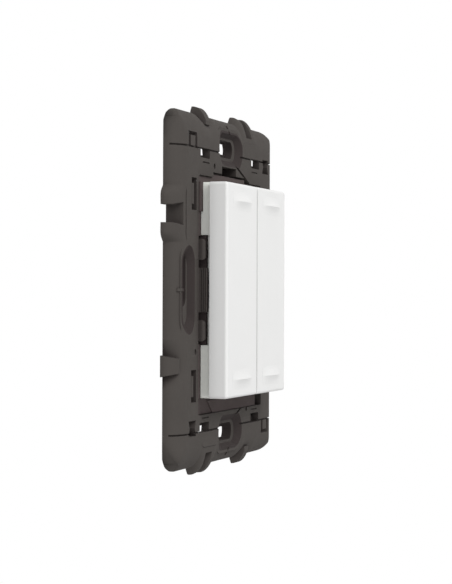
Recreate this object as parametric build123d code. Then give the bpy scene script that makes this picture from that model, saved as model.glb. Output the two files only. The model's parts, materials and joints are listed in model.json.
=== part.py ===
"""Self-powered wireless wall switch: a square mounting frame, a clip-in module and two rocker keys.

Origin: centre of the frame's rear plane, which lies on the wall.
X is to the right as seen from the room, Z is up, and the front looks along -Y.
"out" values are distances from the wall, so a point at out = 3 has Y = -3.
All sizes are in millimetres.
"""
from build123d import *
import math
import os

os.makedirs("parts", exist_ok=True)

# Working values of the modelling itself
OVERCUT = 1.0              # cutters run this far past the face that they cut
CUT_END = 9.0              # far end of cutters that open towards the room
LAP = 0.1                  # overlap of two bodies that are joined into one
ARC_STEPS = 8              # points along a curved section

# Mounting frame
FRAME_HALF = 36.3          # half of the square outline
FRAME_OUT = 3.9            # front face above the wall
FRAME_CORNER = 6.0         # corner radius seen from the front
EDGE_RUN = 5.7             # rounded edge, measured across the front
EDGE_DROP = 3.3            # rounded edge, measured towards the wall
REAR_BEVEL = 1.0           # bevel of the rear edge, measured across the rear
REAR_RISE = 0.3            # the same bevel, measured away from the wall
FRAME_PLATE = 1.5          # wall thickness of the front plate
FRAME_RIM = 1.7            # wall thickness of the outer rim
COLLAR_WALL = 1.3          # wall round the module opening
STIFFENER_X = (-15.3, 15.3)    # ribs behind the front plate, above and below
STIFFENER_HALF = 0.5
STIFFENER_REAR = 0.6
STIFFENER_START = 29.8     # clear of the windows

# Joining features on each of the four edges
JOIN_OFFSET = 15.1         # distance of lip and tab from the middle of the edge
JOIN_REACH = 1.5           # how far lip and tab stand out of the edge
LIP_HALF = 5.8             # half length of the swelling round the notch
LIP_STEPS = ((0, 1), (0.4, 1), (0.7, 0.97), (0.85, 0.55), (1, 0))    # shares of length and reach
SCOOP_HALF = 6.0           # half length of the hollow round the tab
SCOOP_DEPTH = 1.2
SCOOP_STEPS = ((0, 1), (0.25, 0.85), (0.5, 0.5), (0.75, 0.15), (1, 0))    # of length and depth
NOTCH_HALF = 1.8
NOTCH_FLARE = 0.55         # widening of the notch at the front
NOTCH_FLARE_DEPTH = 1.6
NOTCH_FLOOR = 33.4         # distance of the notch floor from the frame's centre
BACKING_SIDE = 2.5         # wall behind notch and tab, beyond the notch on each side
BACKING_TOP = 1.3          # below the front face
BACKING_INSET = 0.6        # inside the scoop
TAB_HALF_REAR = 2.15
TAB_HALF_FRONT = 1.5
TAB_OUT = 3.2
TAB_ROOT = 0.5             # how far the tab reaches inside the rim
BLEND = 0.05               # overlap of a blended swelling at its two ends

# Screw recesses, one on each edge, on the usual 60 mm box pitch
FIXING_PITCH = 60.0
RECESS_HALF_LENGTH = 8.9
RECESS_HALF_HEIGHT = 3.7
RECESS_FLOOR_HALF_LENGTH = 6.9
RECESS_FLOOR_HALF_HEIGHT = 2.3
RECESS_DEPTH = 1.35
SLOT_HALF_LENGTH = 5.3
SLOT_HALF_HEIGHT = 1.8
SLOT_RISE = 0.5            # the slot's ends run up the sloping wall this far
SIDE_SLOT_SHIFT = 2.0      # the two side slots sit off centre
RECESS_FLOOR_THICK = 2.1
BOSS_WALL = 1.3            # wall beyond the ends of each recess on the hidden side
BOSS_SIDE = 0.6            # the same beside it
BOSS_DEPTH = 0.5           # front of that wall below the front face

# Small cut-outs of the frame
GROOVE_Z = 28.8            # break-off line above and below
GROOVE_WIDTH = 0.34
GROOVE_DEPTH = 0.4
GROOVE_START = 1.5         # distance of the groove's lower end from the wall
WINDOW_X = (16.0, 22.5)
WINDOW_Z = (27.0, 29.0)
WINDOW_LINE_Z = 26.1
WINDOW_LINE_X = (16.2, 21.0)
WINDOW_LINE_HALF = 0.12
WINDOW_LINE_DEPTH = 0.25
FLAP_X = (24.9, 30.7)      # bending flap, upper left and lower right
FLAP_Z = (28.95, 31.8)
FLAP_SLIT_SIDE = 1.35
FLAP_SLIT_END = 0.75
BOW_X = (25.2, 30.2)       # bow-shaped slot, upper right and lower left
BOW_Z = (26.3, 29.4)
BOW_WAIST = 0.75
POCKET_X = (25.2, 28.6)    # pockets beside the keys
POCKET_Z = (16.1, 22.6)
POCKET_DEPTH = 1.1
RIB_X = (26.7, 28.1)
RIB_Z = (17.3, 21.5)
RIB_BELOW_FRONT = 0.12
PIN_HOLE = (12.5, 25.7)
PIN_HOLE_RADIUS = 0.6
PIN_HOLE_DEPTH = 0.9
MARK_RANGE = (33.2, 35.0)  # centre mark on each edge
MARK_HALF = 0.3
MARK_PROUD = 0.25
LINE_X = (24.3, 25.6, 26.6)    # fine upright lines beside the latches
LINE_HALF_Z = 6.3
LINE_WIDTH = 0.16
LINE_DEPTH = 0.15

# Outline of the clip-in module's white housing, which sets the opening, the board and the keys
HOUSING_HALF_X = 21.6
HOUSING_HALF_Z = 22.0

# Module opening and its latches
OPENING_HALF = HOUSING_HALF_X + 2.1
OPENING_TOP = HOUSING_HALF_Z + 1.4
OPENING_BOTTOM = -HOUSING_HALF_Z - 3.4
OPENING_CORNER = 0.8
BAY_X = (-13.4, 11.7)      # bay for the module's upper tongue
BAY_TOP = OPENING_TOP + 1.0
BAY_SLOPE_END = (4.3, OPENING_TOP + 3.1)
BAY_SLOPE_START = (14.4, OPENING_TOP - 0.1)
SLIT = 0.55                # width of the open slits round the bay
BAY_WINDOW_X = (-7.0, 3.8)
BAY_WINDOW_TOP = OPENING_TOP + 2.6
LOWER_SLIT_X = (-13.2, 9.0)    # open part of the joint below the module
LOWER_SLIT = 0.44
LOWER_SLIT_START = (9.0, OPENING_BOTTOM + 0.3)
LOWER_SLIT_END = (4.4, OPENING_BOTTOM - 1.1)
DARK_POCKET_X = OPENING_HALF + 0.8    # right end of the lower pocket
DARK_POCKET_Z = -HOUSING_HALF_Z - 0.6
LATCH_X = (OPENING_HALF - 1.55, OPENING_HALF - 0.45)    # inner and outer face of the tongue
LATCH_ROOT = OPENING_HALF + 0.5       # the latch joins the front plate here
LATCH_HALF = 4.5
LATCH_OUT = 5.5
LATCH_GROOVES = (4.35, 4.75, 5.15)
LATCH_GROOVE_DEPTH = 0.2
LATCH_GROOVE_WIDTH = 0.14
LOBE_Z = (6.1, 10.4)
LOBE_OUT = 5.15
LOBE_ROUND = 0.8
LOBE_FOOT = 0.3            # foot of the lobe below the front face
LATCH_FOOT_OUT = 2.45      # underside of the latch, over the module's ledge

# Module base
BASE_GAP = 0.1             # gap between the base and the opening
OPEN_SLIT = 0.35           # width of the parts of that gap that stay open to the eye
SLIT_FLOOR = 2.0           # a foot of the base closes the open slits behind this
BASE_REAR = 0.0            # the base lies on the wall, level with the frame
BASE_FLOOR = 0.95
BASE_WELL = 0.55           # floor under the generator
BASE_OUT = 3.5             # front face of the upper and lower flange
BASE_SIDE_OUT = 3.8        # front face of the rim beside the ears
BASE_RAISED_OUT = 4.2      # raised part beside the upper left ear
BASE_RAISED_Z = (16.0, 22.0)
LATCH_WALL_OUT = 4.8       # dark wall behind each latch, up to the deck
LATCH_WALL_THICK = 0.9
BASE_LOWER_RIGHT = OPENING_HALF - 2.8    # the lower flange ends short of the dark pocket
BASE_LEDGE_OUT = 2.4       # rim between the ears, under the latch
LEDGE_HALF = 11.0
STEP_A = (-16.7, -HOUSING_HALF_Z - 0.7)    # slanted step in the lower flange
STEP_B = (-13.2, -HOUSING_HALF_Z - 3.1)
STEP_END = 1.0             # the step stops short of the flange's end
STEP_RISE = 0.25
WELL_INSET = 0.2           # the well is shorter than the hole in the board, at each end
FLOOR_LAP = 0.2            # posts start this far inside the floor
CORE_REST_INSET = 0.2      # rests under the legs of the core
CORE_REST_Z = (2.0, 6.0)

# Front housing
HOUSING_WALL = 1.1
HOUSING_REAR = 1.05
HOUSING_OUT = 5.7          # front of the deck
EAR_OUT = 5.9
DECK = 0.8
EAR_INNER_Z = 11.2
EAR_CORNER = 0.8
HOUSING_FIT = 0.1          # gap between housing and base walls
DECK_WINDOW_X = (2.6, 19.2)
DECK_WINDOW_HALF_Z = 12.6
DECK_WINDOW_CORNER = 0.8

# Rocker keys
KEY_PAIR_HALF = HOUSING_HALF_X + 1.4
KEY_HALF_Z = HOUSING_HALF_Z
KEY_GAP = 0.5              # gap between the two keys
KEY_OUT = 9.8              # front face of the keys
KEY_SKIRT_OUT = 5.95       # lower edge of the side walls
KEY_END_OUT = 7.4          # lower edge of the end walls
KEY_INNER_OUT = 8.2        # lower edge of the wall beside the gap
KEY_SKIN = 1.3
KEY_WALL = 1.0
KEY_CORNER = 0.6
KEY_EDGE = 0.6
KEY_RIB_X = (HOUSING_HALF_X - 14.0, HOUSING_HALF_X - 8.6)    # stiffening ribs under the front
KEY_RIB_HALF = 0.4
KEY_RIB_DROP = 0.5
RIDGE_Z = KEY_HALF_Z - 3.7
RIDGE_HALF_X = 7.4
RIDGE_HALF_Z = 2.6
RIDGE_HEIGHT = 0.6
RIDGE_END = 0.01           # height left at the two ends
RIDGE_ROOT = 0.2           # how far the ridge reaches into the key
RIDGE_STATIONS = (-1, -0.72, -0.38, 0, 0.38, 0.72, 1)    # shares of the half length
RIDGE_FALL = 2.2           # the larger, the blunter the ridge's ends
RIDGE_HOLLOW = (0.45, 0.22)    # share of half width and of height where its side is hollow

# Pivot shaft of the keys
SHAFT_OUT = 7.0
SHAFT_RADIUS = 0.8
SHAFT_RUNNING = 0.05
SHAFT_HALF = HOUSING_HALF_X - 1.3
SHAFT_FIT = 0.02           # press fit in the posts
BOSS_RADIUS = 1.25
POST_X = (HOUSING_HALF_X - 2.3, HOUSING_HALF_X - 1.2)
POST_OUT = 7.95
POST_HALF_Z = 1.5
POST_ROUND = 0.9
SADDLE_HALF_X = 0.9
KEY_BOSS_X = (2.9, 4.9)
KEY_BOSS_OUTER_X = (HOUSING_HALF_X - 4.6, HOUSING_HALF_X - 2.8)

# Switching points, one near each corner
DOME_X = HOUSING_HALF_X - 5.2
DOME_Z = HOUSING_HALF_Z - 5.4
DOME_RADIUS = 2.5
DOME_TOP_RADIUS = 1.5
DOME_OUT = 6.2
DOME_SKIN = 0.45
DOME_TAPER = 0.3
DOME_INNER_OUT = 3.9       # roof of the hollow under the dome
MAT_THICK = 0.4
MAT_HALF = 3.3
MAT_BRIDGE_Z = (DOME_Z - 1.3, DOME_Z - 0.2)
DOME_HOLE_RADIUS = 3.0
PLUNGER_RADIUS = 1.3
PLUNGER_GAP = 0.05
PILL_RADIUS = 1.1
PILL_THICK = 0.4
PAD_RADIUS = 1.6
PAD_THICK = 0.04

# Circuit board
BOARD_REAR = 1.6
BOARD_THICK = 0.8
BOARD_HALF_X = HOUSING_HALF_X - 1.4
BOARD_HALF_Z = HOUSING_HALF_Z - 1.4
BOARD_HOLE_X = 13.4
BOARD_HOLE_Z = (-9.2, 14.2)
BOARD_CORNER = 1.0

# Components on the lower band of the board: length, width, height
CAPACITOR_X = (-4.4, 0.0, 4.4)
CAPACITOR_Z = -HOUSING_HALF_Z + 3.7
CAPACITOR_SIZE = (3.4, 2.6, 1.6)
DIODE_X = (7.2, 9.4)
DIODE_Z = -HOUSING_HALF_Z + 10.0
DIODE_SIZE = (1.3, 2.6, 0.9)
CHIP_AT = (-2.4, -HOUSING_HALF_Z + 10.1)
CHIP_SIZE = (4.4, 4.4, 0.9)
CHIP_EDGE = 0.1
CRYSTAL_AT = (3.6, -HOUSING_HALF_Z + 10.1)
CRYSTAL_SIZE = (3.2, 2.5, 0.8)
CRYSTAL_EDGE = 0.3

# Antenna on the left band of the board
ANTENNA_X = -BOARD_HALF_X + 1.5
ANTENNA_Z = (-HOUSING_HALF_Z + 13.4, HOUSING_HALF_Z - 9.4)
ANTENNA_RISE = 1.0
ANTENNA_BEND = 0.45
ANTENNA_RADIUS = 0.28

# Generator: fixed core and coil, rocking magnet armature
ARMATURE_OUT = 2.7         # height of the armature axis and of the core
ARMATURE_Z = -4.2          # middle of the armature
CORE_THICK = 0.9
CORE_BAR_Z = 10.2
CORE_BAR_WIDTH = 3.0
CORE_LEG_X = (9.6, 11.9)
CORE_LEG_INSET = 0.2       # the legs end this far inside the pole plates
CORE_CORNER = 0.8
POLE_HALF_X = 12.4
POLE_HALF_Z = 2.2
POLE_THICK = 0.6
POLE_CORNER = 0.4
POLE_AIR = 0.45            # gap between core and pole plate at rest
MAGNET_HALF_X = 7.6
MAGNET_HALF_Z = 1.9
CARRIER_WALL = 0.6
CARRIER_AIR = 0.05
AXLE_RADIUS = 0.6
AXLE_RUNNING = 0.05
AXLE_PAST = 0.35           # the axle ends reach this far past the bearings' thickness
BEARING_THICK = 1.3
BEARING_GAP = 0.2
BEARING_HALF = 1.6
BEARING_TOP = 1.2          # above the axle
BOBBIN_HALF = 7.2
BOBBIN_FLANGE = 0.7
BOBBIN_WALL = 0.45
BOBBIN_FLANGE_HALF_OUT = 2.05
BOBBIN_FLANGE_HALF_Z = 3.4
BOBBIN_CORNER = 0.5
WINDING_INSET = 0.25
WINDING_CORNER = 1.0
SPRING_THICK = 0.25
SPRING_HALF_Z = 1.5
SPRING_START = 0.2         # the strip rises from this far past the pole plate
SPRING_BAR_X = (14.6, 16.6)
SPRING_TIP_Z = 9.2
SPRING_TIP_OUT = 5.05
CATCH_GAP = 0.05
CATCH_HALF_X = 1.1
CATCH_HALF_Z = 0.7
CATCH_INSET = 1.1          # from the end of the bar
RIVET_X = 5.4
RIVET_HEAD_RADIUS = 1.0
RIVET_HEAD = 0.3

# Pins between coil and board
TERMINAL_RADIUS = 0.25
TERMINAL_RISE = 0.85
TERMINAL_BEND = 0.35
TERMINAL_INSET = 0.6

# Screws that close the module from behind
SCREW_X = 10.6
SCREW_Z = HOUSING_HALF_Z - 3.6
SCREW_RADIUS = 0.8
SCREW_HEAD_RADIUS = 1.5
SCREW_HEAD = 0.55
SCREW_LENGTH = 3.9
SCREW_POST_RADIUS = 1.5
SCREW_FIT = 0.02
SCREW_PLAY = 0.1           # round screw and head in the base
SCREW_BORE_PAST = 0.2      # the bore goes past the screw's tip
HEAD_SUNK = 0.05           # head below the rear face, and room over it
CROSS_HALF = 0.8           # cross recess of the head
CROSS_HALF_WIDTH = 0.15
CROSS_DEPTH = 0.35
SCREW_BOSS_RADIUS = 2.2
POST_HOLE_IN_BOARD = 1.8


def block(x, out, z):
    """Box between two values of X, of the distance from the wall and of Z."""
    size = (abs(x[1] - x[0]), abs(out[1] - out[0]), abs(z[1] - z[0]))
    centre = ((x[0] + x[1]) / 2, -(out[0] + out[1]) / 2, (z[0] + z[1]) / 2)
    return Pos(*centre) * Box(*size)


def plate_at(face, out0, out1):
    """Extrudes a flat X-Z outline, drawn in the plane of the wall, between two distances."""
    return extrude(Pos(0, -out0, 0) * face, amount=out1 - out0, dir=(0, -1, 0))


def outline(*points):
    """Closed polygon of (X, Z) points in the plane of the wall."""
    wire = Polyline(*[(x, 0, z) for x, z in points], close=True)
    return make_face(wire)


def stadium(half_length, half_height, out0, out1):
    """Round-ended slot that runs along X."""
    face = Plane.XZ * SlotOverall(2 * half_length, 2 * half_height)
    return plate_at(face, out0, out1)


def rod_y(radius, x, z, out0, out1):
    """Cylinder that points away from the wall."""
    rod = Cylinder(radius, out1 - out0, rotation=(90, 0, 0))
    return Pos(x, -(out0 + out1) / 2, z) * rod


def rod_x(radius, x0, x1, out, z):
    """Cylinder along X."""
    rod = Cylinder(radius, x1 - x0, rotation=(0, 90, 0))
    return Pos((x0 + x1) / 2, -out, z) * rod


def rod_z(radius, z0, z1, x, out):
    """Cylinder along Z."""
    return Pos(x, -out, (z0 + z1) / 2) * Cylinder(radius, z1 - z0)


def quarter_turns(shape):
    """The shape on all four edges of the frame."""
    return [shape.rotate(Axis.Y, 90 * k) for k in range(4)]


def half_turns(shape):
    """The shape and its copy on the opposite side of the frame."""
    return [shape, shape.rotate(Axis.Y, 180)]


def mirrored(shape):
    """The shape and its mirror image to the left."""
    return [shape, shape.mirror(Plane.YZ)]


def edge_profile(x, reach):
    """Section of the upper frame edge at one X, out to FRAME_HALF + reach."""
    inner = FRAME_HALF - EDGE_RUN - OVERCUT
    shoulder = FRAME_HALF - EDGE_RUN
    foot = FRAME_OUT - EDGE_DROP
    run = EDGE_RUN + reach
    arc = [
        (x, -(foot + EDGE_DROP * math.sin(a)), shoulder + run * math.cos(a))
        for a in [math.pi / 2 * i / ARC_STEPS for i in range(ARC_STEPS + 1)]
    ]
    round_edge = Spline(*arc, tangents=[(0, -1, 0), (0, 0, -1)])
    tip = FRAME_HALF + reach
    bevel = [(x, 0, tip - REAR_BEVEL), (x, -REAR_RISE, tip)]
    rest = Polyline(arc[-1], (x, -FRAME_OUT, inner), (x, 0, inner), *bevel, arc[0])
    return make_face(Wire([*round_edge.edges(), *rest.edges()]))


def dome(inset=0.0):
    """Square block with the four rounded edges of the frame, optionally smaller all round."""
    half = FRAME_HALF - inset
    top = FRAME_OUT - inset
    foot = FRAME_OUT - EDGE_DROP
    shoulder = FRAME_HALF - EDGE_RUN
    drop = EDGE_DROP - inset
    run = EDGE_RUN - inset
    right = EllipticalCenterArc((shoulder, -foot), run, drop, start_angle=270, arc_size=90)
    left = EllipticalCenterArc((-shoulder, -foot), run, drop, start_angle=180, arc_size=90)
    lines = [
        Line((-shoulder, -top), (shoulder, -top)),
        Line((half, -foot), (half, -REAR_RISE)),
        Line((half, -REAR_RISE), (half - REAR_BEVEL, 0)),
        Line((half - REAR_BEVEL, 0), (REAR_BEVEL - half, 0)),
        Line((REAR_BEVEL - half, 0), (-half, -REAR_RISE)),
        Line((-half, -REAR_RISE), (-half, -foot)),
    ]
    section = make_face([left, right, *lines])
    length = 2 * (FRAME_HALF + OVERCUT)
    across = extrude(Pos(0, 0, -length / 2) * section, amount=length)
    return across & across.rotate(Axis.Y, 90)


def wave(half_length, steps, ends, middle):
    """Loft of edge profiles along X whose reach goes from ends to middle and back, by the given steps."""
    left = [(-place, share) for place, share in reversed(steps[1:])]
    stations = [(half_length * place, ends + (middle - ends) * share) for place, share in [*left, *steps]]
    return loft([edge_profile(x, reach) for x, reach in stations])


def swelling():
    """Lip that swells out of the upper edge round the notch."""
    return wave(LIP_HALF, LIP_STEPS, -BLEND, JOIN_REACH)


def scoop():
    """Cutter for the hollow round the joining tab, for the upper edge."""
    kept = wave(SCOOP_HALF, SCOOP_STEPS, BLEND, -SCOOP_DEPTH)
    low = FRAME_HALF - EDGE_RUN
    zone = block((-SCOOP_HALF, SCOOP_HALF), (REAR_RISE, FRAME_OUT), (low, FRAME_HALF + OVERCUT))
    return zone - kept


def joining_tab():
    """Tab of the upper edge, wider at the wall than at the front."""
    rear, front = TAB_HALF_REAR, TAB_HALF_FRONT
    plan = Polyline((-rear, 0), (rear, 0), (front, -TAB_OUT), (-front, -TAB_OUT), close=True)
    low = FRAME_HALF - FRAME_RIM - TAB_ROOT
    body = extrude(Pos(0, 0, low) * make_face(plan), amount=FRAME_HALF + JOIN_REACH + OVERCUT - low)
    start = edge_profile(-rear - OVERCUT, JOIN_REACH)
    return body & extrude(start, amount=2 * (rear + OVERCUT), dir=(1, 0, 0))


def joining_notch():
    """Cutter for the notch of the upper edge, flared at the front."""
    flare_start = FRAME_OUT - NOTCH_FLARE_DEPTH
    wide = NOTCH_HALF + NOTCH_FLARE
    front = FRAME_OUT + OVERCUT
    plan = Polyline(
        (-NOTCH_HALF, OVERCUT), (NOTCH_HALF, OVERCUT), (NOTCH_HALF, -flare_start), (wide, -FRAME_OUT),
        (wide, -front), (-wide, -front), (-wide, -FRAME_OUT), (-NOTCH_HALF, -flare_start), close=True,
    )
    depth = FRAME_HALF + JOIN_REACH + OVERCUT - NOTCH_FLOOR
    return extrude(Pos(0, 0, NOTCH_FLOOR) * make_face(plan), amount=depth)


def screw_recess(shift):
    """Cutter for the dished recess and its slot, for the upper edge."""
    floor_out = FRAME_OUT - RECESS_DEPTH
    rim_face = Plane.XZ * SlotOverall(2 * RECESS_HALF_LENGTH, 2 * RECESS_HALF_HEIGHT)
    floor_face = Plane.XZ * SlotOverall(2 * RECESS_FLOOR_HALF_LENGTH, 2 * RECESS_FLOOR_HALF_HEIGHT)
    dish = loft([Pos(0, -floor_out, 0) * floor_face, Pos(0, -FRAME_OUT, 0) * rim_face])
    dish += plate_at(rim_face, FRAME_OUT, FRAME_OUT + OVERCUT)
    slot = stadium(SLOT_HALF_LENGTH, SLOT_HALF_HEIGHT, -OVERCUT, floor_out + SLOT_RISE)
    return Pos(0, 0, FIXING_PITCH / 2) * (dish + Pos(shift, 0, 0) * slot)


def recess_boss():
    """Thick floor behind a screw recess, for the upper edge."""
    rear = FRAME_OUT - RECESS_DEPTH - RECESS_FLOOR_THICK
    half_length = RECESS_HALF_LENGTH + BOSS_WALL
    body = stadium(half_length, RECESS_HALF_HEIGHT + BOSS_SIDE, rear, FRAME_OUT - BOSS_DEPTH)
    return Pos(0, 0, FIXING_PITCH / 2) * body


def frame_hollow():
    """Space behind the front plate, between the outer rim and the collar of the opening."""
    depth = FRAME_OUT - FRAME_PLATE
    outer = FRAME_HALF - FRAME_RIM
    collar = OPENING_HALF + COLLAR_WALL
    space = block((-outer, outer), (-OVERCUT, depth), (-outer, outer)) & dome(FRAME_PLATE)
    collar_z = (OPENING_BOTTOM - COLLAR_WALL, BAY_SLOPE_END[1] + COLLAR_WALL)
    space -= block((-collar, collar), (-OVERCUT, FRAME_OUT), collar_z)
    for x in STIFFENER_X:
        for side in (1, -1):
            rib_x = (x - STIFFENER_HALF, x + STIFFENER_HALF)
            space -= block(rib_x, (STIFFENER_REAR, FRAME_OUT), (side * STIFFENER_START, side * outer))
    return space


def frame_cutters():
    """Small cut-outs seen on the front of the frame."""
    deep = (-OVERCUT, FRAME_OUT + OVERCUT)
    cuts = []
    for sx in (1, -1):
        for sz in (1, -1):
            wx = sorted(sx * v for v in WINDOW_X)
            cuts.append(block(wx, deep, sorted(sz * v for v in WINDOW_Z)))
            lx = sorted(sx * v for v in WINDOW_LINE_X)
            lz = (sz * WINDOW_LINE_Z - WINDOW_LINE_HALF, sz * WINDOW_LINE_Z + WINDOW_LINE_HALF)
            cuts.append(block(lx, (FRAME_OUT - WINDOW_LINE_DEPTH, deep[1]), lz))
            px = sorted(sx * v for v in POCKET_X)
            cuts.append(block(px, (FRAME_OUT - POCKET_DEPTH, deep[1]), sorted(sz * v for v in POCKET_Z)))
    flap = block((-FLAP_X[1], -FLAP_X[0]), deep, FLAP_Z)
    tongue_x = (-FLAP_X[1] + FLAP_SLIT_SIDE, -FLAP_X[0] - FLAP_SLIT_SIDE)
    tongue = block(tongue_x, deep, (FLAP_Z[0], FLAP_Z[1] - FLAP_SLIT_END))
    cuts += half_turns(flap - tongue)
    middle = sum(BOW_Z) / 2
    bow = outline(
        (BOW_X[0], BOW_Z[0]), (BOW_X[1], BOW_Z[0]), (BOW_X[1] - BOW_WAIST, middle), (BOW_X[1], BOW_Z[1]),
        (BOW_X[0], BOW_Z[1]), (BOW_X[0] + BOW_WAIST, middle),
    )
    cuts += half_turns(plate_at(bow, *deep))
    for x in LINE_X:
        line_x = (x - LINE_WIDTH / 2, x + LINE_WIDTH / 2)
        line = block(line_x, (FRAME_OUT - LINE_DEPTH, deep[1]), (-LINE_HALF_Z, LINE_HALF_Z))
        cuts += half_turns(line)
    hole = rod_y(PIN_HOLE_RADIUS, -PIN_HOLE[0], PIN_HOLE[1], FRAME_OUT - PIN_HOLE_DEPTH, deep[1])
    cuts += quarter_turns(hole)
    return cuts


def break_lines():
    """Shallow grooves that follow the front and the rounded edges, above and below."""
    length = FRAME_HALF + JOIN_REACH + OVERCUT
    core = dome(GROOVE_DEPTH)
    grooves = []
    for z in (GROOVE_Z, -GROOVE_Z):
        groove_z = (z - GROOVE_WIDTH / 2, z + GROOVE_WIDTH / 2)
        grooves.append(block((-length, length), (GROOVE_START, FRAME_OUT + OVERCUT), groove_z) - core)
    return grooves


def module_opening():
    """Opening for the module, with the bay above it and the slits round the bay."""
    deep = (-OVERCUT, FRAME_OUT + OVERCUT)
    height = OPENING_TOP - OPENING_BOTTOM
    plain = Plane.XZ * RectangleRounded(2 * OPENING_HALF, height, OPENING_CORNER)
    opening = Pos(0, 0, (OPENING_TOP + OPENING_BOTTOM) / 2) * plate_at(plain, *deep)
    slope = (BAY_SLOPE_END[0] - BAY_SLOPE_START[0]) / (BAY_SLOPE_END[1] - BAY_SLOPE_START[1])
    bay_right = BAY_SLOPE_START[0] + (BAY_TOP - BAY_SLOPE_START[1]) * slope
    bay = outline(
        (BAY_X[0], 0), (BAY_X[0], BAY_TOP), (bay_right, BAY_TOP), BAY_SLOPE_START, (BAY_SLOPE_START[0], 0)
    )
    opening += plate_at(bay, *deep)
    opening += block(BAY_WINDOW_X, deep, (BAY_TOP - LAP, BAY_WINDOW_TOP))
    opening += slanted_slit(BAY_SLOPE_START, BAY_SLOPE_END, SLIT, deep)
    opening += slanted_slit(LOWER_SLIT_START, LOWER_SLIT_END, LOWER_SLIT, deep)
    opening += block((0, DARK_POCKET_X), deep, (OPENING_BOTTOM, DARK_POCKET_Z))
    return opening


def slanted_slit(start, end, width, out):
    """Straight open slit between two (X, Z) points."""
    dx, dz = end[0] - start[0], end[1] - start[1]
    length = math.hypot(dx, dz)
    nx, nz = -dz / length * width / 2, dx / length * width / 2
    shape = outline(
        (start[0] + nx, start[1] + nz), (end[0] + nx, end[1] + nz),
        (end[0] - nx, end[1] - nz), (start[0] - nx, start[1] - nz),
    )
    return plate_at(shape, *out)


def side_latch():
    """Ribbed tongue and two lobes that hold the module, for the right-hand side."""
    inner, outer = LATCH_X
    tongue = block((inner, outer), (LATCH_FOOT_OUT, LATCH_OUT), (-LATCH_HALF, LATCH_HALF))
    for out in LATCH_GROOVES:
        reach = (outer - LATCH_GROOVE_DEPTH, outer + OVERCUT)
        half = LATCH_GROOVE_WIDTH / 2
        tongue -= block(reach, (out - half, out + half), (-LATCH_HALF - OVERCUT, LATCH_HALF + OVERCUT))
    shapes = [tongue, block((inner, LATCH_ROOT), (LATCH_FOOT_OUT, FRAME_OUT), (-LATCH_HALF, LATCH_HALF))]
    for side in (1, -1):
        span = sorted((side * LOBE_Z[0], side * LOBE_Z[1]))
        lobe = block((inner, outer), (LATCH_FOOT_OUT, LOBE_OUT), span)
        front_edges = lobe.faces().sort_by(Axis.Y)[0].edges()
        lobe = fillet(front_edges.sort_by(Axis.X)[1:], LOBE_ROUND)
        shapes += [lobe, block((inner, LATCH_ROOT), (LATCH_FOOT_OUT, FRAME_OUT - LOBE_FOOT), span)]
    return shapes


def mounting_frame():
    """Square frame with rounded edges, joining features, screw recesses and latches."""
    plan = Plane.XZ * RectangleRounded(2 * FRAME_HALF, 2 * FRAME_HALF, FRAME_CORNER)
    frame = dome() & plate_at(plan, -OVERCUT, FRAME_OUT + OVERCUT)
    frame += quarter_turns(Pos(JOIN_OFFSET, 0, 0) * swelling())
    frame -= quarter_turns(Pos(-JOIN_OFFSET, 0, 0) * scoop())
    frame -= frame_hollow()
    frame += quarter_turns(recess_boss())
    half = NOTCH_HALF + BACKING_SIDE
    backing_z = (NOTCH_FLOOR - FRAME_PLATE, FRAME_HALF - SCOOP_DEPTH - BACKING_INSET)
    for middle in (JOIN_OFFSET, -JOIN_OFFSET):
        span = (middle - half, middle + half)
        frame += quarter_turns(block(span, (0, FRAME_OUT - BACKING_TOP), backing_z))
    frame += quarter_turns(Pos(-JOIN_OFFSET, 0, 0) * joining_tab())
    frame -= quarter_turns(Pos(JOIN_OFFSET, 0, 0) * joining_notch())
    frame -= half_turns(screw_recess(0))
    frame -= [turn.rotate(Axis.Y, 90) for turn in half_turns(screw_recess(SIDE_SLOT_SHIFT))]
    mark = block((-MARK_HALF, MARK_HALF), (FRAME_OUT - EDGE_DROP, FRAME_OUT), MARK_RANGE)
    frame += quarter_turns(mark & dome(-MARK_PROUD))
    frame -= frame_cutters()
    frame -= break_lines()
    frame -= module_opening()
    ribs = []
    for sx in (1, -1):
        for sz in (1, -1):
            span_x = sorted(sx * v for v in RIB_X)
            span_z = sorted(sz * v for v in RIB_Z)
            rib_out = (FRAME_OUT - POCKET_DEPTH - LAP, FRAME_OUT - RIB_BELOW_FRONT)
            ribs.append(block(span_x, rib_out, span_z))
    frame += ribs
    for shape in side_latch():
        frame += mirrored(shape)
    return frame


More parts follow.
